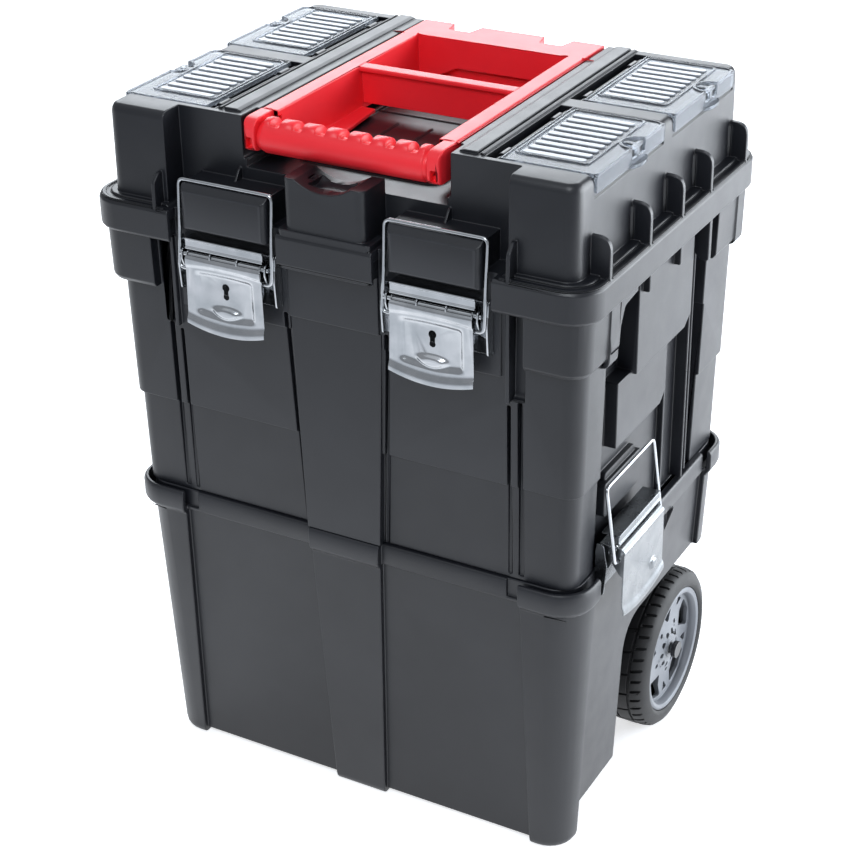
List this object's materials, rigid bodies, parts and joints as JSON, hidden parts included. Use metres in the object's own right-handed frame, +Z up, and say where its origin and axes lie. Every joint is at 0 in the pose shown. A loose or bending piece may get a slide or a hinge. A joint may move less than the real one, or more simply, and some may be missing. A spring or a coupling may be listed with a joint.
{
  "type": "rolling tool box",
  "caption": "Two-part wheeled tool box: a lift-off upper box with hinged organiser lid and draw latches on a wheeled bin with a telescopic pull handle.",
  "frame": {"origin": "on the floor under the middle of the box", "axes": "+Z up, -Y to the front with the two lid latches, +X to the right seen from the front"},
  "size_m": [0.472, 0.372, 0.6185],
  "materials": {
    "black_shell": "fine-grained moulded polypropylene",
    "red_handle": "satin moulded",
    "clear_lid": "clear moulded",
    "plated_steel": "bright zinc plate",
    "tube_steel": "brushed",
    "silver_rim": "silver-grey moulded",
    "tyre_rubber": "matt tread"
  },
  "bodies": {
    "bin": {"lower_bin": "black_shell", "wheel_axle": "plated_steel", "outer_tube_left": "tube_steel", "outer_tube_right": "tube_steel", "tube_clamp_lower": "black_shell", "tube_clamp_upper": "black_shell", "axle_cap_left": "plated_steel", "side_latch_left_base": "plated_steel", "side_latch_left_pin": "plated_steel", "axle_cap_right": "plated_steel", "side_latch_right_base": "plated_steel", "side_latch_right_pin": "plated_steel"},
    "wheel_left": {"tyre_left": "tyre_rubber", "wheel_rim_left": "silver_rim"},
    "wheel_right": {"tyre_right": "tyre_rubber", "wheel_rim_right": "silver_rim"},
    "side_lever_left": {"side_latch_left_lever": "plated_steel"},
    "side_bail_left": {"side_latch_left_bail": "plated_steel"},
    "side_lever_right": {"side_latch_right_lever": "plated_steel"},
    "side_bail_right": {"side_latch_right_bail": "plated_steel"},
    "pull_middle": {"middle_tube_left": "tube_steel", "middle_tube_right": "tube_steel"},
    "pull_handle": {"inner_tube_left": "tube_steel", "inner_tube_right": "tube_steel", "pull_grip": "black_shell"},
    "release_button": {"release_button": "red_handle"},
    "upper_box": {"upper_body": "black_shell", "front_latch_left_base": "plated_steel", "front_latch_left_pin": "plated_steel", "hinge_pin_left": "plated_steel", "front_latch_right_base": "plated_steel", "front_latch_right_pin": "plated_steel", "hinge_pin_right": "plated_steel"},
    "front_lever_left": {"front_latch_left_lever": "plated_steel"},
    "front_bail_left": {"front_latch_left_bail": "plated_steel"},
    "front_lever_right": {"front_latch_right_lever": "plated_steel"},
    "front_bail_right": {"front_latch_right_bail": "plated_steel"},
    "lid": {"lid_shell": "black_shell", "handle_pin_left": "plated_steel", "handle_pin_right": "plated_steel", "organiser_pin_front_left": "plated_steel", "organiser_pin_front_right": "plated_steel", "organiser_pin_rear_left": "plated_steel", "organiser_pin_rear_right": "plated_steel"},
    "organiser_front_left": {"organiser_lid_front_left": "clear_lid"},
    "organiser_front_right": {"organiser_lid_front_right": "clear_lid"},
    "organiser_rear_left": {"organiser_lid_rear_left": "clear_lid"},
    "organiser_rear_right": {"organiser_lid_rear_right": "clear_lid"},
    "carry_handle": {"handle_frame": "red_handle", "handle_grip": "red_handle"}
  },
  "joints": [
    {"name": "wheel_left_spin", "type": "hinge", "parent": "bin", "child": "wheel_left", "pos_m": [-0.1845, 0.082, 0.076], "axis": [1, 0, 0], "continuous": true},
    {"name": "wheel_right_spin", "type": "hinge", "parent": "bin", "child": "wheel_right", "pos_m": [0.1845, 0.082, 0.076], "axis": [1, 0, 0], "continuous": true},
    {"name": "side_latch_left_turn", "type": "hinge", "parent": "bin", "child": "side_lever_left", "pos_m": [-0.2195, -0.062, 0.289], "axis": [0, 1, 0], "range_deg": [0, 100]},
    {"name": "side_bail_left_turn", "type": "hinge", "parent": "side_lever_left", "child": "side_bail_left", "pos_m": [-0.2255, -0.062, 0.279], "axis": [0, 1, 0], "range_deg": [-135, 0]},
    {"name": "side_latch_right_turn", "type": "hinge", "parent": "bin", "child": "side_lever_right", "pos_m": [0.2195, -0.062, 0.289], "axis": [0, -1, 0], "range_deg": [0, 100]},
    {"name": "side_bail_right_turn", "type": "hinge", "parent": "side_lever_right", "child": "side_bail_right", "pos_m": [0.2255, -0.062, 0.279], "axis": [0, -1, 0], "range_deg": [-135, 0]},
    {"name": "pull_handle_slide", "type": "slide", "parent": "bin", "child": "pull_handle", "axis": [0, 0, -1], "range_m": [-0.5, 0]},
    {"name": "pull_middle_slide", "type": "slide", "parent": "bin", "child": "pull_middle", "axis": [0, 0, -1], "range_m": [-0.25, 0]},
    {"name": "release_button_press", "type": "slide", "parent": "pull_handle", "child": "release_button", "axis": [0, 0, -1], "range_m": [0, 0.003], "stiffness_N_per_m": 300, "springref_m": -0.005},
    {"name": "upper_box_lift", "type": "slide", "parent": "bin", "child": "upper_box", "axis": [0, 0, 1], "range_m": [0, 0.2]},
    {"name": "front_latch_left_turn", "type": "hinge", "parent": "upper_box", "child": "front_lever_left", "pos_m": [-0.094, -0.172, 0.505], "axis": [-1, 0, 0], "range_deg": [0, 100]},
    {"name": "front_bail_left_turn", "type": "hinge", "parent": "front_lever_left", "child": "front_bail_left", "pos_m": [-0.094, -0.178, 0.495], "axis": [-1, 0, 0], "range_deg": [-135, 0]},
    {"name": "front_latch_right_turn", "type": "hinge", "parent": "upper_box", "child": "front_lever_right", "pos_m": [0.094, -0.172, 0.505], "axis": [-1, 0, 0], "range_deg": [0, 100]},
    {"name": "front_bail_right_turn", "type": "hinge", "parent": "front_lever_right", "child": "front_bail_right", "pos_m": [0.094, -0.178, 0.495], "axis": [-1, 0, 0], "range_deg": [-135, 0]},
    {"name": "lid_turn", "type": "hinge", "parent": "upper_box", "child": "lid", "pos_m": [0, 0.178, 0.508], "axis": [-1, 0, 0], "range_deg": [0, 95]},
    {"name": "organiser_front_left_turn", "type": "hinge", "parent": "lid", "child": "organiser_front_left", "pos_m": [-0.1255, -0.069, 0.612], "axis": [0, 1, 0], "range_deg": [0, 100]},
    {"name": "organiser_front_right_turn", "type": "hinge", "parent": "lid", "child": "organiser_front_right", "pos_m": [0.1255, -0.069, 0.612], "axis": [0, -1, 0], "range_deg": [0, 100]},
    {"name": "organiser_rear_left_turn", "type": "hinge", "parent": "lid", "child": "organiser_rear_left", "pos_m": [-0.1255, 0.077, 0.612], "axis": [0, 1, 0], "range_deg": [0, 100]},
    {"name": "organiser_rear_right_turn", "type": "hinge", "parent": "lid", "child": "organiser_rear_right", "pos_m": [0.1255, 0.077, 0.612], "axis": [0, -1, 0], "range_deg": [0, 100]},
    {"name": "carry_handle_turn", "type": "hinge", "parent": "lid", "child": "carry_handle", "pos_m": [0, 0.138, 0.604], "axis": [-1, 0, 0], "range_deg": [0, 90]}
  ],
  "couplings": [
    {"joint": "side_bail_left_turn", "follows": "side_latch_left_turn", "ratio": -1.3},
    {"joint": "side_bail_right_turn", "follows": "side_latch_right_turn", "ratio": -1.3},
    {"joint": "pull_middle_slide", "follows": "pull_handle_slide", "ratio": 0.5},
    {"joint": "front_bail_left_turn", "follows": "front_latch_left_turn", "ratio": -1.3},
    {"joint": "front_bail_right_turn", "follows": "front_latch_right_turn", "ratio": -1.3}
  ]
}
